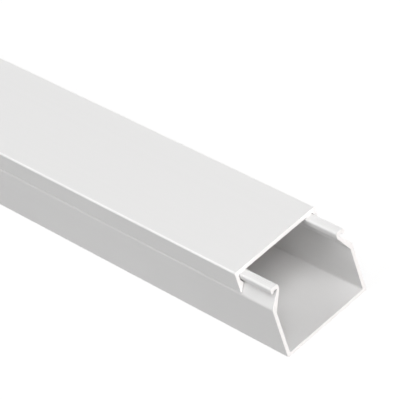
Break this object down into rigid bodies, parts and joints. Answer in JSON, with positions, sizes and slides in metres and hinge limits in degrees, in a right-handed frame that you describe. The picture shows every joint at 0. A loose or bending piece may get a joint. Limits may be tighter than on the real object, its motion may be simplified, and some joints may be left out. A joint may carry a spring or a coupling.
{
  "type": "cord cover raceway",
  "caption": "Straight white plastic raceway: a flat-backed channel with hooked lips carries a snap-fit lid that slides along it, to hide and hold cords on a wall.",
  "frame": {"origin": "middle of the base channel's flat back", "axes": "+X along the stock, towards the end where the lid stands back, +Y across it, +Z from the back towards the lid"},
  "size_m": [0.4118, 0.03, 0.0245],
  "materials": {
    "base_pvc": "white rigid PVC as extruded, satin, with fine lines along the length and plain sawn ends",
    "lid_pvc": "white rigid PVC as extruded, satin and smooth on top, with plain sawn ends"
  },
  "bodies": {
    "base": {"base_channel": "base_pvc"},
    "lid": {"snap_lid": "lid_pvc"}
  },
  "joints": [
    {"name": "lid_slide", "type": "slide", "parent": "base", "child": "lid", "axis": [1, 0, 0], "range_m": [-0.3, 0.0118]}
  ]
}
